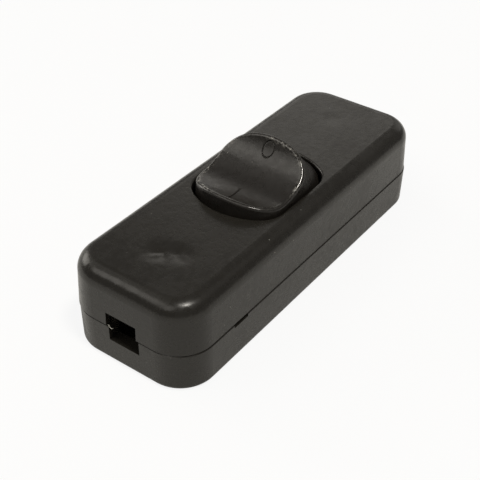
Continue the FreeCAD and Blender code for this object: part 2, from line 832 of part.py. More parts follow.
def make_all():
    """Every node of the switch, by name."""
    nodes = {
        "cover_shell": make_cover(),
        "base_shell": make_base(),
        "rocker": make_rocker(),
        "rocker_spring": make_spring(),
        "spring_plunger": make_plunger(),
        "contact_lever": make_lever(),
        "moving_contact": make_moving_contact(),
        "fixed_contact": make_fixed_contact(),
        "line_terminal": make_line_terminal(),
        "load_terminal": make_load_terminal(),
        "neutral_link": make_neutral_link(),
    }
    for name, side_x, side_y in ring_of_terminals():
        nodes[f"clamp_washer_{name}"] = make_washer(side_x, side_y)
        nodes[f"terminal_screw_{name}"] = make_terminal_screw(side_x, side_y)
    for end, side in (("near", -1), ("far", 1)):
        nodes[f"cord_clamp_{end}"] = make_cord_clamp(side)
        for hand, way in (("right", -1), ("left", 1)):
            nodes[f"cord_clamp_screw_{end}_{hand}"] = make_clamp_screw(side, way)
    for end, x, y in case_screw_places():
        nodes[f"case_screw_{end}"] = make_case_screw(x, y)
    return nodes


os.makedirs("parts", exist_ok=True)
for node, shape in make_all().items():
    shape.exportStep(f"parts/{node}.step")
    print(node, len(shape.Solids), shape.isValid(), round(shape.Volume, 2))
print("lever tilt", round(lever_tilt(), 3))
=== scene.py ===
"""Inline cord switch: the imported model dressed, lit and seen as in its photograph.

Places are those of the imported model: X along the cord, Y across the case, Z up. Sizes in the
classes of the switch are millimetres. Its meshes, the lamps and the floor are in metres.
"""
from __future__ import annotations

import json
import logging
import math
from abc import ABC, abstractmethod
from collections.abc import Callable, Iterable, Mapping, Sequence
from dataclasses import dataclass, field
from enum import Enum

import bpy
from mathutils import Matrix, Vector, noise
from mathutils.geometry import delaunay_2d_cdt


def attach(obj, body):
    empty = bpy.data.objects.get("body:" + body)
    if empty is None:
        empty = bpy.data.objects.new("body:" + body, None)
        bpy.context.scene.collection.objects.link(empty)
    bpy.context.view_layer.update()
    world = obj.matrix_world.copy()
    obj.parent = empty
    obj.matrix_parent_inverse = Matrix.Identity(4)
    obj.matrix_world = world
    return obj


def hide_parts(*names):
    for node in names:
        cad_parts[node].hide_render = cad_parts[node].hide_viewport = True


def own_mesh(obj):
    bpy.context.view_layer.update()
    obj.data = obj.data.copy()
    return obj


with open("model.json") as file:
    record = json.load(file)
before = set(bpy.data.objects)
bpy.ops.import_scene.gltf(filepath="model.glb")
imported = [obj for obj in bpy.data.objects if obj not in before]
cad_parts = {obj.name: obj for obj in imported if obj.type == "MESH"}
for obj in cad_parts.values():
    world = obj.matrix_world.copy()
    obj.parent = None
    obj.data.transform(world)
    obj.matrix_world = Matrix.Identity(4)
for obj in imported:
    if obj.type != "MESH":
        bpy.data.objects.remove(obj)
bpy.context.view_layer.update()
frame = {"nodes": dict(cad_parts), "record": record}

LOG = logging.getLogger("inline_cord_switch")
MM = 0.001
WEAR_AND_HIGHLIGHT = "wear_and_highlight"
WHITE = (1.0, 1.0, 1.0, 1.0)
COLOUR_MIX = {"data_type": "RGBA"}
MULTIPLY = {"operation": "MULTIPLY"}
MULTIPLY_ADD = {"operation": "MULTIPLY_ADD"}
CLAMPED_MULTIPLY = {"operation": "MULTIPLY", "use_clamp": True}

# Points whose metres agree to this many digits are one.
SAME_DIGITS = 8
# A triangle whose doubled area in square metres is below this has no direction.
NO_AREA = 1e-14
# A piece of an outline whose squared length is below this is a point.
NO_LENGTH = 1e-12

# A place on a flat map, a straight piece of an outline there, and a face's point numbers.
Spot = tuple[float, float]
Segment = tuple[Spot, Spot]
Face = tuple[int, ...]


def linear(hex_colour: str) -> tuple[float, float, float, float]:
    """Turns an sRGB colour into the linear one that the shaders take.

    Args:
        hex_colour: Six hex digits, red, green and blue.

    Returns:
        Linear red, green and blue, and an alpha of 1.
    """
    parts = [int(hex_colour[i : i + 2], 16) / 255 for i in (0, 2, 4)]
    red, green, blue = (p / 12.92 if p <= 0.04045 else ((p + 0.055) / 1.055) ** 2.4 for p in parts)
    return red, green, blue, 1.0


def add_node(
    tree: bpy.types.NodeTree,
    kind: str,
    settings: Mapping[str, object] | None = None,
    sockets: Mapping[str | int, object] | None = None,
) -> bpy.types.Node:
    """Adds a node with its settings and its sockets' values or links.

    Args:
        tree: The node tree that gets the node.
        kind: The node's type.
        settings: The node's own properties by name.
        sockets: A constant, or another node's output, by the input's name or number.

    Returns:
        The new node.
    """
    node = tree.nodes.new(kind)
    for name, value in (settings or {}).items():
        setattr(node, name, value)
    for key, value in (sockets or {}).items():
        if isinstance(value, bpy.types.NodeSocket):
            tree.links.new(value, node.inputs[key])
        else:
            node.inputs[key].default_value = value
    return node


def empty_tree(owner: bpy.types.Material | bpy.types.World) -> bpy.types.NodeTree:
    """Turns on the nodes of a material or a world and clears them.

    Args:
        owner: The material or the world.

    Returns:
        Its node tree, without a node.
    """
    owner.use_nodes = True
    owner.node_tree.nodes.clear()
    return owner.node_tree


def add_object(name: str, data: bpy.types.ID) -> bpy.types.Object:
    """Makes an object and links it to the scene.

    Args:
        name: The object's name.
        data: Its mesh, curve, lamp or camera.

    Returns:
        The object.
    """
    made = bpy.data.objects.new(name, data)
    bpy.context.scene.collection.objects.link(made)
    return made


def per_metre(size_mm: float) -> float:
    """Noise scale whose features are about that many millimetres apart."""
    return 1.0 / (size_mm * MM)


class Slot(Enum):
    """Material slots of the record that the finishes stand for."""

    CASE = "case_plastic"
    ROCKER = "rocker_plastic"
    CLAMP = "clamp_plastic"
    NYLON = "nylon"
    TERMINAL = "terminal_brass"
    CONTACT = "contact_brass"
    SILVER = "contact_silver"
    ZINC = "zinc_steel"
    SPRING = "spring_steel"


@dataclass(frozen=True)
class MouldedPlastic:
    """Injection-moulded plastic: grain, flow marks, a mottled skin, rubbed edges with a painted
    highlight, and dust.
    """

    name: str
    colour: str
    colour_flow: str
    roughness: float
    specular: float = 0.5
    # ABS and polyamide are near 1.53. A grained skin shines less, as 1.46 does.
    ior: float = 1.46
    # Swirls of the melt, which change the colour and the shine a little.
    flow_mm: float = 9.0
    flow_range: tuple[float, float] = (0.3, 0.7)
    roughness_spread: float = 0.07
    # The mould's real grain is about 0.06 mm, too fine to show, so it is drawn coarser.
    grain_mm: float = 0.22
    grain_depth_mm: float = 0.0022
    # Unevenness that the skin got as it cooled, in its height and in its shine.
    mottle_mm: float = 1.1
    mottle_depth_mm: float = 0.025
    mottle_range: tuple[float, float] = (0.35, 0.65)
    mottle_spread: float = 0.1
    # Real dust is about 0.05 mm wide, too fine to show, so it is drawn three times as wide.
    dust: str = "8c8a84"
    dust_spacing_mm: float = 1.5
    dust_size: float = 0.055
    dust_core: float = 0.5
    dust_range: tuple[float, float] = (0.62, 0.75)
    # Rubbed edges, wear with a painted highlight: paler where both noises are high, smoother all
    # along.
    wear_and_highlight: str = "8c8a84"
    scuff_mm: float = 0.55
    scuff_range: tuple[float, float] = (0.47, 0.66)
    stretch_mm: float = 3.6
    stretch_range: tuple[float, float] = (0.48, 0.62)
    stretch_least: float = 0.05
    edge_polish: float = 0.16

    def material(self) -> bpy.types.Material:
        """Builds the material.

        Returns:
            A material whose pattern follows the mesh's own coordinates.
        """
        made = bpy.data.materials.new(self.name)
        tree = empty_tree(made)
        place = add_node(tree, "ShaderNodeTexCoord").outputs["Object"]
        edge = add_node(tree, "ShaderNodeAttribute", {"attribute_name": WEAR_AND_HIGHLIGHT}).outputs["Fac"]
        grain, flow, mottle = (
            add_node(
                tree,
                "ShaderNodeTexNoise",
                sockets={
                    "Vector": place,
                    "Scale": per_metre(size_mm),
                    "Detail": detail,
                    "Roughness": roughness,
                },
            ).outputs["Fac"]
            for size_mm, detail, roughness in (
                (self.grain_mm, 3.0, 0.6),
                (self.flow_mm, 4.0, 0.55),
                (self.mottle_mm, 2.5, 0.6),
            )
        )
        skin = linear(self.colour)
        for share, over in (
            (flow, self.colour_flow),
            (self._dust_mask(tree, place), self.dust),
            # The rim's paler colour is partly wear and partly a painted highlight.
            (self._wear_and_highlight_mask(tree, place, edge), self.wear_and_highlight),
        ):
            layer = add_node(
                tree, "ShaderNodeMix", COLOUR_MIX, {"Factor": share, "A": skin, "B": linear(over)}
            )
            skin = layer.outputs["Result"]
        uneven = add_node(
            tree,
            "ShaderNodeBump",
            sockets={"Distance": self.mottle_depth_mm * MM, "Height": mottle},
        )
        grained = add_node(
            tree,
            "ShaderNodeBump",
            sockets={
                "Distance": self.grain_depth_mm * MM,
                "Height": grain,
                "Normal": uneven.outputs["Normal"],
            },
        )
        shader = add_node(
            tree,
            "ShaderNodeBsdfPrincipled",
            sockets={
                "Base Color": skin,
                "Roughness": self._roughness(tree, flow, mottle, edge),
                "Normal": grained.outputs["Normal"],
                "IOR": self.ior,
                "Specular IOR Level": self.specular,
            },
        )
        add_node(tree, "ShaderNodeOutputMaterial", sockets={"Surface": shader.outputs["BSDF"]})
        return made

    def _roughness(
        self,
        tree: bpy.types.NodeTree,
        flow: bpy.types.NodeSocket,
        mottle: bpy.types.NodeSocket,
        edge: bpy.types.NodeSocket,
    ) -> bpy.types.NodeSocket:
        """Satin shine that the flow marks, the mottling and the rubbing change.

        Args:
            tree: The material's nodes.
            flow: Noise of the flow marks.
            mottle: Noise of the mottling.
            edge: The mesh's own values of wear and painted highlight.

        Returns:
            The roughness.
        """
        satin, patchy = (
            add_node(
                tree,
                "ShaderNodeMapRange",
                sockets={
                    "Value": value,
                    "From Min": span[0],
                    "From Max": span[1],
                    "To Min": middle - spread,
                    "To Max": middle + spread,
                },
            )
            for value, span, middle, spread in (
                (flow, self.flow_range, self.roughness, self.roughness_spread),
                (mottle, self.mottle_range, 0.0, self.mottle_spread / 2),
            )
        )
        patched = add_node(
            tree,
            "ShaderNodeMath",
            sockets={0: satin.outputs["Result"], 1: patchy.outputs["Result"]},
        )
        polished = add_node(
            tree,
            "ShaderNodeMath",
            MULTIPLY_ADD,
            {0: edge, 1: -self.edge_polish, 2: patched.outputs["Value"]},
        )
        return polished.outputs["Value"]

    def _dust_mask(
        self, tree: bpy.types.NodeTree, place: bpy.types.NodeSocket
    ) -> bpy.types.NodeSocket:
        """Sparse specks: small balls round the points of a few of the cells.

        Args:
            tree: The material's nodes.
            place: The surface's own coordinates.

        Returns:
            The share of dust, 0 to 1.
        """
        cells = add_node(
            tree,
            "ShaderNodeTexVoronoi",
            {"feature": "F1"},
            {"Vector": place, "Scale": per_metre(self.dust_spacing_mm)},
        )
        near, chosen = (
            add_node(
                tree,
                "ShaderNodeMapRange",
                sockets={"Value": cells.outputs[output], "From Min": low, "From Max": high},
            )
            for output, low, high in (
                ("Distance", self.dust_size, self.dust_size * self.dust_core),
                ("Color", *self.dust_range),
            )
        )
        both = add_node(
            tree,
            "ShaderNodeMath",
            CLAMPED_MULTIPLY,
            {0: near.outputs["Result"], 1: chosen.outputs["Result"]},
        )
        return both.outputs["Value"]

    def _wear_and_highlight_mask(
        self,
        tree: bpy.types.NodeTree,
        place: bpy.types.NodeSocket,
        edge: bpy.types.NodeSocket,
    ) -> bpy.types.NodeSocket:
        """Rubbed edges, wear and painted highlight: the mesh's own values, in stretches that a
        fine noise breaks up.

        Args:
            tree: The material's nodes.
            place: The surface's own coordinates.
            edge: The mesh's own values of wear and painted highlight.

        Returns:
            The share of wear and painted highlight, 0 to 1. A mesh without these values has none.
        """
        scuff = add_node(
            tree,
            "ShaderNodeTexNoise",
            sockets={
                "Vector": place,
                "Scale": per_metre(self.scuff_mm),
                "Detail": 5.0,
                "Roughness": 0.7,
            },
        )
        stretch = add_node(
            tree,
            "ShaderNodeTexNoise",
            sockets={"Vector": place, "Scale": per_metre(self.stretch_mm), "Detail": 1.0},
        )
        broken, stretches = (
            add_node(
                tree,
                "ShaderNodeMapRange",
                sockets={
                    "Value": value.outputs["Fac"],
                    "From Min": span[0],
                    "From Max": span[1],
                    "To Min": least,
                },
            )
            for value, span, least in (
                (scuff, self.scuff_range, 0.0),
                (stretch, self.stretch_range, self.stretch_least),
            )
        )
        rubbed_and_highlit = add_node(
            tree,
            "ShaderNodeMath",
            MULTIPLY,
            {0: broken.outputs["Result"], 1: stretches.outputs["Result"]},
        )
        share = add_node(
            tree, "ShaderNodeMath", CLAMPED_MULTIPLY, {0: edge, 1: rubbed_and_highlit.outputs["Value"]}
        )
        return share.outputs["Value"]


@dataclass(frozen=True)
class Metal:
    """Metal part: stamped, headed, plated or drawn, told apart by colour, shine and tarnish."""

    name: str
    colour: str
    tarnish: str
    roughness: float
    tarnish_mm: float = 2.5
    # Real rolling and drawing lines are about 0.02 mm apart, too fine to show, so they are
    # drawn coarser. They run along X.
    line_mm: float = 0.12
    line_stretch: float = 18.0
    line_depth_mm: float = 0.0012
    line_spread: float = 0.25

    def material(self) -> bpy.types.Material:
        """Builds the material.

        Returns:
            A metal with rolling lines along X and patches of tarnish.
        """
        made = bpy.data.materials.new(self.name)
        tree = empty_tree(made)
        place = add_node(tree, "ShaderNodeTexCoord").outputs["Object"]
        patches = add_node(
            tree,
            "ShaderNodeTexNoise",
            sockets={"Vector": place, "Scale": per_metre(self.tarnish_mm), "Detail": 5.0},
        )
        body = add_node(
            tree,
            "ShaderNodeMix",
            COLOUR_MIX,
            {
                "Factor": patches.outputs["Fac"],
                "A": linear(self.colour),
                "B": linear(self.tarnish),
            },
        )
        drawn = add_node(
            tree,
            "ShaderNodeMapping",
            sockets={"Vector": place, "Scale": (1.0 / self.line_stretch, 1.0, 1.0)},
        )
        lines = add_node(
            tree,
            "ShaderNodeTexNoise",
            sockets={
                "Vector": drawn.outputs["Vector"],
                "Scale": per_metre(self.line_mm),
                "Detail": 2.0,
            },
        )
        rough = add_node(
            tree,
            "ShaderNodeMapRange",
            sockets={
                "Value": lines.outputs["Fac"],
                "To Min": self.roughness * (1.0 - self.line_spread),
                "To Max": self.roughness * (1.0 + self.line_spread),
            },
        )
        bump = add_node(
            tree,
            "ShaderNodeBump",
            sockets={"Distance": self.line_depth_mm * MM, "Height": lines.outputs["Fac"]},
        )
        shader = add_node(
            tree,
            "ShaderNodeBsdfPrincipled",
            sockets={
                "Base Color": body.outputs["Result"],
                "Metallic": 1.0,
                "Roughness": rough.outputs["Result"],
                "Normal": bump.outputs["Normal"],
            },
        )
        add_node(tree, "ShaderNodeOutputMaterial", sockets={"Surface": shader.outputs["BSDF"]})
        return made


# Each finish is named for what the real one is and how its surface was made.
FINISHES: dict[Slot, MouldedPlastic | Metal] = {
    # ABS shells from a lightly spark-eroded mould: satin black that greys at a low angle.
    Slot.CASE: MouldedPlastic(
        "black_abs_satin_moulded_case", "1d1b18", "22201c", roughness=0.27, specular=0.4
    ),
    # The rocker's ABS is a little duller and more uneven, and fingers rub its rim, whose paler
    # colour is also a painted highlight.
    Slot.ROCKER: MouldedPlastic(
        "black_abs_satin_moulded_rocker",
        "1a1816",
        "221f1b",
        roughness=0.31,
        grain_mm=0.3,
        mottle_depth_mm=0.04,
    ),
    # Glass-filled polyamide of the cord clamps: duller and greyer than the case.
    Slot.CLAMP: MouldedPlastic("grey_polyamide_moulded_clamp", "3c3c3b", "454543", roughness=0.55),
    # Natural polyamide of the plunger: milky and slightly waxy.
    Slot.NYLON: MouldedPlastic(
        "natural_polyamide_moulded_plunger", "dcd6c2", "cfc8b2", roughness=0.4, dust_size=0.0
    ),
    # Half-hard brass strip, stamped: rolling lines and a thin brown tarnish.
    Slot.TERMINAL: Metal("brass_stamped_strip_terminal", "d8b25c", "b98f45", 0.3),
    # The lever's strip is springier brass, a little redder.
    Slot.CONTACT: Metal("brass_stamped_strip_lever", "d9ae62", "b58648", 0.27),
    # Silver-nickel rivet heads, headed cold, with a grey bloom.
    Slot.SILVER: Metal("silver_nickel_headed_rivet", "dedcd6", "b9b8b5", 0.25),
    # Zinc-plated steel screws and washers: bluish grey and slightly cloudy.
    Slot.ZINC: Metal("zinc_plated_steel_headed_screw", "b9bdc2", "9fa4ab", 0.33),
    # Drawn spring wire: dark grey and smooth.
    Slot.SPRING: Metal("spring_steel_drawn_wire", "8e8f92", "77787b", 0.3),
}


# The torn flash is the case's plastic, stretched so thin that it has turned pale.
FLASH = MouldedPlastic("black_abs_torn_flash", "a9a79f", "bdbbb3", roughness=0.5, dust_size=0.0)


@dataclass
class Surface:
    """Points and faces, with a normal for each corner of a face and a value of wear and painted
    highlight for points.
    """

    points: list[Vector] = field(default_factory=list)
    faces: list[Face] = field(default_factory=list)
    normals: list[tuple[Vector, ...]] = field(default_factory=list)
    wear_and_highlight: dict[int, float] = field(default_factory=dict)

    @classmethod
    def of_node(cls, node: str) -> Surface:
        """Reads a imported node's mesh, with equal points joined and its normals kept.

        Args:
            node: The node's name.

        Returns:
            The node's surface.
        """
        mesh = frame["nodes"][node].data
        surface = cls()
        seen: dict[tuple[float, float, float], int] = {}
        number: list[int] = []
        for vertex in mesh.vertices:
            key = tuple(round(value, SAME_DIGITS) for value in vertex.co)
            if key not in seen:
                seen[key] = len(surface.points)
                surface.points.append(vertex.co.copy())
            number.append(seen[key])
        corner_normals = mesh.corner_normals
        for face in mesh.polygons:
            corners = tuple(number[v] for v in face.vertices)
            if len(set(corners)) < len(corners):
                continue
            surface.faces.append(corners)
            surface.normals.append(
                tuple(corner_normals[i].vector.copy() for i in face.loop_indices)
            )
        return surface

    def take(self, chosen: Callable[[Vector], bool]) -> list[Face]:
        """Removes the faces whose points all pass a test.

        Args:
            chosen: Says of a point whether it passes.

        Returns:
            The removed faces.
        """
        taken, kept, kept_normals = [], [], []
        for corners, normals in zip(self.faces, self.normals):
            if all(chosen(self.points[i]) for i in corners):
                taken.append(corners)
            else:
                kept.append(corners)
                kept_normals.append(normals)
        self.faces, self.normals = kept, kept_normals
        return taken

    def to_object(self, name: str, finish: bpy.types.Material) -> bpy.types.Object:
        """Makes the mesh object.

        Args:
            name: The object's name.
            finish: Its material.

        Returns:
            The object, linked to the scene.
        """
        used = sorted({i for corners in self.faces for i in corners})
        renumber = {old: new for new, old in enumerate(used)}
        mesh = bpy.data.meshes.new(name)
        faces = [tuple(renumber[i] for i in corners) for corners in self.faces]
        mesh.from_pydata([self.points[i] for i in used], [], faces)
        mesh.shade_smooth()
        mesh.normals_split_custom_set([tuple(n) for normals in self.normals for n in normals])
        # Values of wear and painted highlight, which make the rocker's rim paler.
        rubbed_and_highlit = mesh.attributes.new(WEAR_AND_HIGHLIGHT, "FLOAT", "POINT")
        rubbed_and_highlit.data.foreach_set("value", [self.wear_and_highlight.get(i, 0.0) for i in used])
        mesh.materials.append(finish)
        mesh.update()
        return add_object(name, mesh)


class Chart(ABC):
    """Flat map of one smooth face. Points are metres, and the map is millimetres."""

    @abstractmethod
    def holds(self, point: Vector) -> bool:
        """Whether a point lies on the face."""

    @abstractmethod
    def flat(self, point: Vector) -> Spot:
        """Place of a point on the map."""

    @abstractmethod
    def back(self, u: float, v: float, depth: float) -> Vector:
        """Point at a place of the map, sunk below the face by a depth in millimetres."""

    @abstractmethod
    def normal(self, u: float, v: float) -> Vector:
        """Outward direction at a place of the map."""


@dataclass(frozen=True)
class LevelTop(Chart):
    """Level top of the case, seen from above."""

    height: float
    tolerance: float = 0.002

    def holds(self, point: Vector) -> bool:
        """Whether a point lies on the top."""
        return abs(point.z / MM - self.height) < self.tolerance

    def flat(self, point: Vector) -> Spot:
        """Place of a point, from above."""
        return point.x / MM, point.y / MM

    def back(self, u: float, v: float, depth: float) -> Vector:
        """Point below a place of the top."""
        return Vector((u, v, self.height - depth)) * MM

    def normal(self, u: float, v: float) -> Vector:
        """Straight up, everywhere."""
        return Vector((0.0, 0.0, 1.0))


@dataclass(frozen=True)
class RolledOutDish(Chart):
    """Dish of the rocker, part of a cylinder that lies across the case, rolled out flat."""

    radius: float
    axis_height: float
    rim_from: float
    to_level: Matrix
    to_rest: Matrix
    tolerance: float = 0.004

    def level(self, point: Vector) -> Vector:
        """Point in millimetres from the pivot, with the rocker turned level."""
        return self.to_level @ point / MM

    def beyond(self, level: Vector) -> float:
        """Distance from the cylinder to a point of the level rocker, outward from its axis."""
        return math.hypot(level.x, level.z - self.axis_height) - self.radius

    def holds(self, point: Vector) -> bool:
        """Whether a point lies on the dish."""
        level = self.level(point)
        return level.z >= self.rim_from and abs(self.beyond(level)) <= self.tolerance

    def flat(self, point: Vector) -> Spot:
        """Place of a point: its way along the arc, and across it."""
        level = self.level(point)
        return self.radius * math.atan2(level.x, self.axis_height - level.z), level.y

    def back(self, u: float, v: float, depth: float) -> Vector:
        """Point below a place of the dish.

        Args:
            u: Way along the arc.
            v: Way across it.
            depth: Depth below the dish.

        Returns:
            The point, with the rocker at rest.
        """
        angle = u / self.radius
        reach = self.radius + depth
        level = Vector((reach * math.sin(angle), v, self.axis_height - reach * math.cos(angle)))
        return self.to_rest @ (level * MM)

    def normal(self, u: float, v: float) -> Vector:
        """Direction from a place of the dish to the cylinder's axis."""
        angle = u / self.radius
        return self.to_rest.to_3x3() @ Vector((-math.sin(angle), 0.0, math.cos(angle)))


@dataclass
class FinePatch:
    """Refills a smooth face of a shell with a fine mesh that carries its relief."""

    chart: Chart
    relief: Callable[[float, float], float]
    spacing: float
    # Share of the spacing that the grid keeps from the outline.
    clear_share: float = 0.35
    # Places of the map that are closer than this are one.
    same_within: float = 1e-7

    def refill(self, surface: Surface, faces: Sequence[Face], extra: Iterable[Spot]) -> None:
        """Fills the place of the removed faces.

        Args:
            surface: The shell, which has lost those faces.
            faces: The removed faces.
            extra: More points on the flat map, such as those along a groove.
        """
        edges = self._outline(faces)
        rim = sorted({i for edge in edges for i in edge})
        spots = [self.chart.flat(surface.points[i]) for i in rim]
        place = {number: order for order, number in enumerate(rim)}
        border = [(place[a], place[b]) for a, b in edges]
        segments = [(spots[a], spots[b]) for a, b in border]
        spots.extend(self._inside_points(segments, list(extra)))
        found, _, triangles, origins, _, _ = delaunay_2d_cdt(
            [Vector(spot) for spot in spots], border, [], 0, self.same_within, True
        )
        numbers = []
        for spot, sources in zip(found, origins):
            source = min(sources) if sources else len(spots)
            if source < len(rim):
                numbers.append(rim[source])
            else:
                depth = self.relief(spot.x, spot.y)
                numbers.append(len(surface.points))
                surface.points.append(self.chart.back(spot.x, spot.y, depth))
        added = []
        for triangle in triangles:
            middle = sum((found[i] for i in triangle), Vector((0.0, 0.0))) / 3
            if inside(middle.x, middle.y, segments):
                added.append((tuple(numbers[i] for i in triangle), [found[i] for i in triangle]))
        self._add_faces(surface, added, set(rim))

    def _outline(self, faces: Sequence[Face]) -> list[tuple[int, int]]:
        """Finds the outline of a group of faces.

        Args:
            faces: The faces.

        Returns:
            The edges that belong to one of the faces only.
        """
        count: dict[tuple[int, int], int] = {}
        for corners in faces:
            for a, b in zip(corners, corners[1:] + corners[:1]):
                key = (min(a, b), max(a, b))
                count[key] = count.get(key, 0) + 1
        return [edge for edge, times in count.items() if times == 1]

    def _inside_points(self, segments: Sequence[Segment], extra: Sequence[Spot]) -> list[Spot]:
        """Points of a triangular grid inside the outline, clear of it and of the extra points.

        Args:
            segments: The outline on the flat map.
            extra: Points that the grid keeps away from.

        Returns:
            The extra points, then the grid's.
        """
        step = self.spacing
        row = step * math.sqrt(3) / 2
        vs = [v for a, b in segments for v in (a[1], b[1])]
        taken = {(round(u / step), round(v / step)) for u, v in extra}
        points = list(extra)
        for j in range(int((max(vs) - min(vs)) / row) + 1):
            v = min(vs) + (j + 0.5) * row
            crossings = sorted(
                a[0] + (v - a[1]) * (b[0] - a[0]) / (b[1] - a[1])
                for a, b in segments
                if (a[1] > v) != (b[1] > v)
            )
            for left, right in zip(crossings[::2], crossings[1::2]):
                count = int((right - left - step) / step)
                if count < 1:
                    continue
                start = left + (right - left - count * step) / 2
                for i in range(count + 1):
                    u = start + i * step
                    column, line = round(u / step), round(v / step)
                    round_it = {
                        (column + du, line + dv) for du in (-1, 0, 1) for dv in (-1, 0, 1)
                    }
                    if round_it.isdisjoint(taken):
                        points.append((u, v))
        clear = self.clear_share * step
        return [p for p in points if clearance(p, segments) > clear or p in extra]

    def _add_faces(
        self, surface: Surface, added: Sequence[tuple[Face, list[Vector]]], rim: set[int]
    ) -> None:
        """Adds triangles that face outward, with smooth normals that meet the shell's at the rim.

        Args:
            surface: The shell.
            added: Each triangle's point numbers and its places on the flat map.
            rim: Numbers of the points on the outline.
        """
        gathered: dict[int, Vector] = {}
        outward: list[tuple[Face, list[Vector]]] = []
        for corners, spots in added:
            a, b, c = (surface.points[i] for i in corners)
            face_normal = (b - a).cross(c - a)
            if face_normal.length < NO_AREA:
                continue
            if face_normal.dot(self.chart.normal(spots[0].x, spots[0].y)) < 0:
                corners, spots = corners[::-1], spots[::-1]
                face_normal.negate()
            outward.append((corners, spots))
            for i in corners:
                gathered[i] = gathered.get(i, Vector()) + face_normal
        for corners, spots in outward:
            surface.faces.append(corners)
            surface.normals.append(
                tuple(
                    self.chart.normal(spot.x, spot.y) if i in rim else gathered[i].normalized()
                    for i, spot in zip(corners, spots)
                )
            )


def inside(u: float, v: float, segments: Sequence[Segment]) -> bool:
    """Whether a point of the flat map lies inside an outline, holes left out.

    Args:
        u: First coordinate.
        v: Second coordinate.
        segments: The outline's pieces, in any order.

    Returns:
        True inside.
    """
    odd = False
    for a, b in segments:
        if (a[1] > v) != (b[1] > v) and u < a[0] + (v - a[1]) * (b[0] - a[0]) / (b[1] - a[1]):
            odd = not odd
    return odd


def clearance(point: Spot, segments: Sequence[Segment]) -> float:
    """Distance from a point of the flat map to an outline or a line.

    Args:
        point: The point.
        segments: The straight pieces of the outline or the line.

    Returns:
        The distance, in the map's unit.
    """
    u, v = point
    best = math.inf
    for (au, av), (bu, bv) in segments:
        du, dv = bu - au, bv - av
        share = ((u - au) * du + (v - av) * dv) / max(du * du + dv * dv, NO_LENGTH)
        share = min(1.0, max(0.0, share))
        best = min(best, math.hypot(u - au - share * du, v - av - share * dv))
    return best


@dataclass(frozen=True)
class SinkMark:
    """Shallow, uneven dent where a boss or pillar under the roof shrank as it cooled."""

    x: float
    y: float
    radius: float
    depth: float
    uneven: float
    ripple: float = 0.9
    steepness: float = 2.2

    def at(self, x: float, y: float) -> float:
        """Measures the dent at a place.

        Args:
            x: Place along the case.
            y: Place across it.

        Returns:
            The depth.
        """
        share = math.hypot(x - self.x, y - self.y) / self.radius
        ripple = noise.noise(Vector((x / self.ripple, y / self.ripple, self.x)))
        hollow = math.exp(-self.steepness * share * share)
        return self.depth * (1.0 + self.uneven * ripple) * hollow


@dataclass
class CoverShell:
    """Upper half of the case, with the sink marks and slight waviness of its flat top."""

    top: float = 14.4
    spacing: float = 0.5
    waviness: float = 0.012
    wave_length: float = 11.0
    wave_slice: float = 3.0
    marks: tuple[SinkMark, ...] = (
        SinkMark(-22.1, 0.8, 2.4, 0.23, uneven=0.8),
        SinkMark(-20.7, -2.0, 2.1, 0.23, uneven=0.8),
        SinkMark(22.2, 0.8, 2.4, 0.07, uneven=0.2),
    )

    def build(self, finish: bpy.types.Material) -> bpy.types.Object:
        """Builds the cover with its refilled top.

        Args:
            finish: The case's plastic.

        Returns:
            The piece that stands for the cover's node.
        """
        surface = Surface.of_node("cover_shell")
        chart = LevelTop(self.top)
        taken = surface.take(chart.holds)
        FinePatch(chart, self.relief, self.spacing).refill(surface, taken, [])
        piece = surface.to_object("moulded_cover", finish)
        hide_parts("cover_shell")
        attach(piece, "case")
        return piece

    def relief(self, x: float, y: float) -> float:
        """Measures the top's waviness and sink marks at a place.

        Args:
            x: Place along the case.
            y: Place across it.

        Returns:
            The depth, never below zero, so that the top stays inside its box.
        """
        wave = noise.noise(Vector((x, y, self.wave_slice)) / self.wave_length)
        depth = self.waviness * (0.5 + 0.5 * wave)
        return depth + sum(mark.at(x, y) for mark in self.marks)


@dataclass(frozen=True)
class Groove:
    """Engraved line on the rocker's dish, along points of its chart."""

    line: tuple[Spot, ...]
    width: float = 0.3
    depth: float = 0.2
    # Mesh points: how far apart along the line, and where across it, as shares of the width.
    step: float = 0.12
    across: tuple[float, ...] = (-0.62, -0.45, -0.25, 0.0, 0.25, 0.45, 0.62)

    def at(self, u: float, v: float) -> float:
        """Measures the groove at a place of the chart.

        Args:
            u: Way along the dish's arc.
            v: Way across it.

        Returns:
            The depth, 0 beside the groove.
        """
        near = clearance((u, v), list(zip(self.line, self.line[1:])))
        share = near / (self.width / 2)
        return self.depth * math.cos(share * math.pi / 2) ** 2 if share < 1 else 0.0

    def mesh_points(self) -> list[Spot]:
        """Sets points beside and along the line, close enough for a smooth groove.

        Returns:
            The points on the chart.
        """
        points: list[Spot] = []
        for (au, av), (bu, bv) in zip(self.line, self.line[1:]):
            length = math.hypot(bu - au, bv - av)
            aside = (-(bv - av) / length, (bu - au) / length)
            steps = max(1, round(length / self.step))
            for i in range(steps):
                u, v = au + (bu - au) * i / steps, av + (bv - av) * i / steps
                for offset in self.across:
                    shift = offset * self.width
                    points.append((u + aside[0] * shift, v + aside[1] * shift))
        return points


def oval(middle: Spot, half: Spot, lean: float, count: int = 40) -> tuple[Spot, ...]:
    """Closed oval line.

    Args:
        middle: Its centre.
        half: Half its length and half its width.
        lean: Angle of its length from the first axis, in degrees.
        count: Number of its straight pieces.

    Returns:
        The points, the first repeated at the end.
    """
    turn = math.radians(lean)
    points = []
    for i in range(count + 1):
        angle = 2 * math.pi * i / count
        a, b = half[0] * math.cos(angle), half[1] * math.sin(angle)
        points.append(
            (
                middle[0] + a * math.cos(turn) - b * math.sin(turn),
                middle[1] + a * math.sin(turn) + b * math.cos(turn),
            )
        )
    return tuple(points)


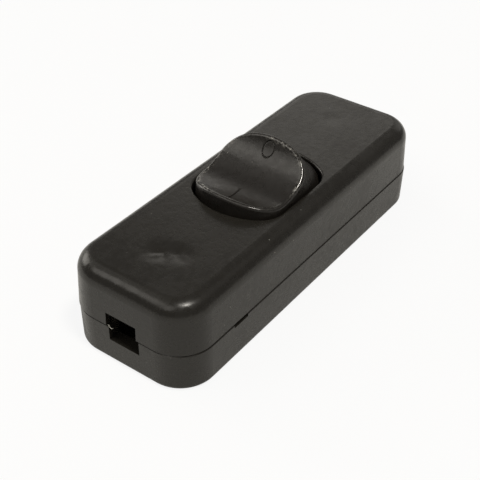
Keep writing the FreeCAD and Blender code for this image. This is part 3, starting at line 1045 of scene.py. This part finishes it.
@dataclass
class RockerCap:
    """Dished cap of the rocker, with its engraved 0 and I and its rubbed rim, paler also from a
    painted highlight.
    """

    pivot_height: float = 9.0
    tilt: float = 16.0
    crest_half_length: float = 6.9
    crest_height: float = 10.354
    dish_radius: float = 8.85
    # Width of the rim's band of wear and painted highlight.
    rub_and_highlight_width: float = 0.25
    rim_from: float = 5.0
    spacing: float = 0.45
    marks: tuple[Groove, ...] = (
        Groove(oval((5.35, -0.03), (1.3, 0.95), 4.0), width=0.26),
        Groove(((-3.05, -0.08), (-6.8, -0.8))),
    )

    def build(self, finish: bpy.types.Material) -> bpy.types.Object:
        """Builds the rocker with its refilled dish.

        Args:
            finish: The rocker's plastic.

        Returns:
            The piece that stands for the rocker's node.
        """
        rise = math.sqrt(self.dish_radius**2 - self.crest_half_length**2)
        to_level = Matrix.Rotation(math.radians(self.tilt), 4, "Y") @ Matrix.Translation(
            (0.0, 0.0, -self.pivot_height * MM)
        )
        chart = RolledOutDish(
            radius=self.dish_radius,
            axis_height=self.crest_height + rise,
            rim_from=self.rim_from,
            to_level=to_level,
            to_rest=to_level.inverted(),
        )
        surface = Surface.of_node("rocker")
        self._rub_and_highlight_rim(surface, chart)
        taken = surface.take(chart.holds)
        extra = [p for mark in self.marks for p in mark.mesh_points()]
        FinePatch(chart, self.relief, self.spacing).refill(surface, taken, extra)
        piece = surface.to_object("moulded_rocker", finish)
        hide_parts("rocker")
        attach(piece, "rocker")
        return piece

    def relief(self, u: float, v: float) -> float:
        """Depth of the engraved lines at a place of the dish."""
        return max(mark.at(u, v) for mark in self.marks)

    def _rub_and_highlight_rim(self, surface: Surface, chart: RolledOutDish) -> None:
        """Gives values of wear and painted highlight to the rounding of the dish's rim.

        Args:
            surface: The rocker, before its dish is filled again.
            chart: The dish's flat map.
        """
        for i, point in enumerate(surface.points):
            level = chart.level(point)
            if level.z > self.rim_from:
                # Wear and painted highlight: full at the dish's cylinder, none a band's width
                # outside it.
                share = 1.0 - chart.beyond(level) / self.rub_and_highlight_width
                surface.wear_and_highlight[i] = min(1.0, max(0.0, share))


@dataclass
class FlashWhisker:
    """Thin curl of moulding flash at the parting line, in the near cord entry."""

    points: tuple[tuple[float, float, float], ...] = (
        (-30.85, 2.75, 6.5),
        (-30.96, 2.5, 6.4),
        (-30.96, 2.25, 6.22),
        (-30.96, 2.05, 6.15),
        (-30.95, 1.85, 6.22),
        (-30.9, 1.8, 6.42),
    )
    thickness: float = 0.07
    tip_points: int = 2
    tip_share: float = 0.5

    def build(self, finish: bpy.types.Material) -> bpy.types.Object:
        """Builds the whisker as a bent thread.

        Args:
            finish: The stretched plastic.

        Returns:
            The piece.
        """
        curve = bpy.data.curves.new("flash_whisker", "CURVE")
        curve.dimensions = "3D"
        curve.bevel_depth = self.thickness / 2 * MM
        curve.bevel_resolution = 2
        curve.resolution_u = 8
        spline = curve.splines.new("NURBS")
        spline.points.add(len(self.points) - 1)
        tip_from = len(self.points) - self.tip_points
        for i, (point, (x, y, z)) in enumerate(zip(spline.points, self.points)):
            point.co = (x * MM, y * MM, z * MM, 1.0)
            point.radius = 1.0 if i < tip_from else self.tip_share
        spline.order_u = 3
        spline.use_endpoint_u = True
        curve.materials.append(finish)
        piece = add_object("flash_whisker", curve)
        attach(piece, "case")
        return piece


@dataclass
class PlungerSpring:
    """Coil spring in the rocker's tube; the real one shortens as the plunger goes in, this one
    keeps its node's length.
    """

    lean: float = 16.0
    seat: tuple[float, float, float] = (-1.323, 0.0, 13.614)
    travel: float = 0.6

    def build(self, finish: bpy.types.Material) -> bpy.types.Object:
        """Builds the spring on its node's own coil.

        Args:
            finish: The drawn wire's steel.

        Returns:
            The piece that stands for the spring's node.
        """
        surface = Surface.of_node("rocker_spring")
        piece = surface.to_object("drawn_wire_spring", finish)
        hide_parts("rocker_spring")
        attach(piece, "rocker")
        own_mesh(piece)
        return piece


@dataclass
class Mechanism:
    """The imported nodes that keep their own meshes: the base shell and the parts inside."""

    replaced: tuple[str, ...] = ("cover_shell", "rocker", "rocker_spring")

    def dress(self, finishes: Mapping[Slot, bpy.types.Material]) -> list[str]:
        """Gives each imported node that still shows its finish.

        Args:
            finishes: The built materials by slot.

        Returns:
            The names of the dressed nodes.
        """
        dressed = []
        for part in frame["record"]["subparts"]:
            if part["node"] in self.replaced:
                continue
            node = frame["nodes"][part["node"]]
            for holder in node.material_slots:
                holder.material = finishes[Slot(part["material_slot"])]
            dressed.append(part["node"])
        return dressed


@dataclass
class PhotographCamera:
    """Camera where the photograph was taken from, found from the outline, in millimetres."""

    target: tuple[float, float, float] = (0.0, 0.0, 7.154)
    distance: float = 149.889
    azimuth: float = -55.516
    elevation: float = 36.289
    roll: float = 1.509
    focal_px: float = 974.607
    picture_px: float = 480.0
    aim_px: tuple[float, float] = (16.523, -20.768)
    sensor: float = 36.0
    clip_metres: tuple[float, float] = (0.005, 20.0)

    def build(self) -> bpy.types.Object:
        """Builds the camera and makes it the scene's.

        Returns:
            The camera.
        """
        a, e = math.radians(self.azimuth), math.radians(self.elevation)
        back = Vector((math.sin(a) * math.cos(e), -math.cos(a) * math.cos(e), math.sin(e)))
        right = Vector((math.cos(a), math.sin(a), 0.0))
        level = Matrix((right, back.cross(right), back))
        pan = math.atan2(self.aim_px[0], self.focal_px)
        tilt = math.atan2(self.aim_px[1], self.focal_px)
        turn = (
            Matrix.Rotation(-math.radians(self.roll), 3, "Z")
            @ Matrix.Rotation(-tilt, 3, "X")
            @ Matrix.Rotation(-pan, 3, "Y")
        )
        data = bpy.data.cameras.new("photograph_camera")
        data.sensor_width = self.sensor
        data.lens = self.sensor * self.focal_px / self.picture_px
        data.clip_start, data.clip_end = self.clip_metres
        camera = add_object("photograph_camera", data)
        camera.matrix_world = (turn @ level).transposed().to_4x4()
        camera.location = (Vector(self.target) + back * self.distance) * MM
        bpy.context.scene.camera = camera
        return camera


@dataclass(frozen=True)
class SoftLamp:
    """Round area lamp that looks at the object, with its size and distance in metres."""

    name: str
    azimuth: float
    elevation: float
    watts: float
    size: float = 0.36
    distance: float = 0.7
    colour: str = "fffaf1"

    def build(self) -> bpy.types.Object:
        """Builds the lamp.

        Returns:
            The lamp, aimed at the middle of the case's underside.
        """
        a, e = math.radians(self.azimuth), math.radians(self.elevation)
        way = Vector((math.cos(a) * math.cos(e), math.sin(a) * math.cos(e), math.sin(e)))
        data = bpy.data.lights.new(self.name, "AREA")
        data.shape = "DISK"
        data.size = self.size
        data.energy = self.watts
        data.color = linear(self.colour)[:3]
        lamp = add_object(self.name, data)
        lamp.location = way * self.distance
        lamp.rotation_euler = way.to_track_quat("Z", "Y").to_euler()
        return lamp


@dataclass
class Studio:
    """White sweep under and round the object, with soft lamps on all sides, in metres."""

    floor_radius: float = 1.2
    floor_sides: int = 96
    # Just under the case, so that the floor and the underside never share a plane.
    floor_drop: float = 0.00002
    floor_colour: str = "e4e4e2"
    seen_glow_share: float = 0.82
    mirrored_glow_share: float = 0.05
    ambient: float = 0.19
    lamps: tuple[SoftLamp, ...] = (
        SoftLamp("left_key_lamp", 180.0, 50.0, 0.55),
        SoftLamp("near_key_lamp", -105.0, 69.0, 3.0, size=0.13),
        SoftLamp("far_low_lamp", 90.0, 22.0, 1.3),
        SoftLamp("far_high_lamp", 90.0, 50.0, 0.15),
        SoftLamp("far_left_lamp", 135.0, 50.0, 0.7),
        SoftLamp("away_lamp", 33.0, 23.0, 0.25),
        SoftLamp("right_low_lamp", 0.0, 22.0, 0.15),
        SoftLamp("near_right_lamp", -45.0, 50.0, 0.08),
    )

    def build(self) -> None:
        """Builds the floor, the surroundings and the lamps, and sets how colours are shown."""
        bpy.context.scene.view_settings.view_transform = "Standard"
        self._floor()
        self._world()
        for lamp in self.lamps:
            lamp.build()

    def _floor(self) -> None:
        """Round white floor that keeps the object's shadow."""
        angles = [2 * math.pi * i / self.floor_sides for i in range(self.floor_sides)]
        ring = [
            (self.floor_radius * math.cos(angle), self.floor_radius * math.sin(angle), 0.0)
            for angle in angles
        ]
        mesh = bpy.data.meshes.new("studio_floor")
        mesh.from_pydata(ring, [], [tuple(range(self.floor_sides))])
        # Matt white paper. It glows towards the camera, so that it shows white without more light.
        paper = bpy.data.materials.new("white_paper_sweep")
        tree = empty_tree(paper)
        matt = add_node(
            tree, "ShaderNodeBsdfDiffuse", sockets={"Color": linear(self.floor_colour)}
        )
        glow = add_node(tree, "ShaderNodeEmission", sockets={"Strength": 1.0})
        mixed = add_node(
            tree,
            "ShaderNodeMixShader",
            sockets={
                0: self._glow_share(tree),
                1: matt.outputs["BSDF"],
                2: glow.outputs["Emission"],
            },
        )
        add_node(tree, "ShaderNodeOutputMaterial", sockets={"Surface": mixed.outputs["Shader"]})
        mesh.materials.append(paper)
        floor = add_object("studio_floor", mesh)
        floor.location.z = -self.floor_drop

    def _glow_share(self, tree: bpy.types.NodeTree) -> bpy.types.NodeSocket:
        """Share of white glow in the floor: much to the camera, and a little in mirrors.

        Args:
            tree: The floor material's nodes.

        Returns:
            The share, 0 for the light that spreads.
        """
        ray = add_node(tree, "ShaderNodeLightPath")
        direct = ray.outputs["Is Camera Ray"]
        every = direct
        for kind in ("Is Glossy Ray", "Is Transmission Ray"):
            either = add_node(
                tree,
                "ShaderNodeMath",
                {"operation": "MAXIMUM"},
                {0: every, 1: ray.outputs[kind]},
            )
            every = either.outputs["Value"]
        mirrored = add_node(
            tree, "ShaderNodeMath", MULTIPLY, {0: every, 1: self.mirrored_glow_share}
        )
        share = add_node(
            tree,
            "ShaderNodeMath",
            MULTIPLY_ADD,
            {0: direct, 1: self.seen_glow_share, 2: mirrored.outputs["Value"]},
        )
        return share.outputs["Value"]

    def _world(self) -> None:
        """Dim all-round light, white where the camera sees it."""
        world = bpy.data.worlds.new("studio_surroundings")
        bpy.context.scene.world = world
        tree = empty_tree(world)
        dim, white = (
            add_node(tree, "ShaderNodeBackground", sockets={"Color": WHITE, "Strength": strength})
            for strength in (self.ambient, 1.0)
        )
        ray = add_node(tree, "ShaderNodeLightPath")
        mixed = add_node(
            tree,
            "ShaderNodeMixShader",
            sockets={
                0: ray.outputs["Is Camera Ray"],
                1: dim.outputs["Background"],
                2: white.outputs["Background"],
            },
        )
        add_node(tree, "ShaderNodeOutputWorld", sockets={"Surface": mixed.outputs["Shader"]})


def main() -> None:
    """Builds the camera, the finishes, the pieces and the studio, in that order."""
    logging.basicConfig(level=logging.INFO, format="%(name)s: %(message)s")
    PhotographCamera().build()
    finishes = {slot: finish.material() for slot, finish in FINISHES.items()}
    LOG.info("finishes: %d", len(finishes))
    cover = CoverShell().build(finishes[Slot.CASE])
    LOG.info("%s: %d faces", cover.name, len(cover.data.polygons))
    rocker = RockerCap().build(finishes[Slot.ROCKER])
    LOG.info("%s: %d faces", rocker.name, len(rocker.data.polygons))
    whisker = FlashWhisker().build(FLASH.material())
    LOG.info("%s", whisker.name)
    spring = PlungerSpring().build(finishes[Slot.SPRING])
    LOG.info("%s: %d faces", spring.name, len(spring.data.polygons))
    for node in Mechanism().dress(finishes):
        LOG.info("dressed %s", node)
    Studio().build()


if __name__ == "__main__":
    main()
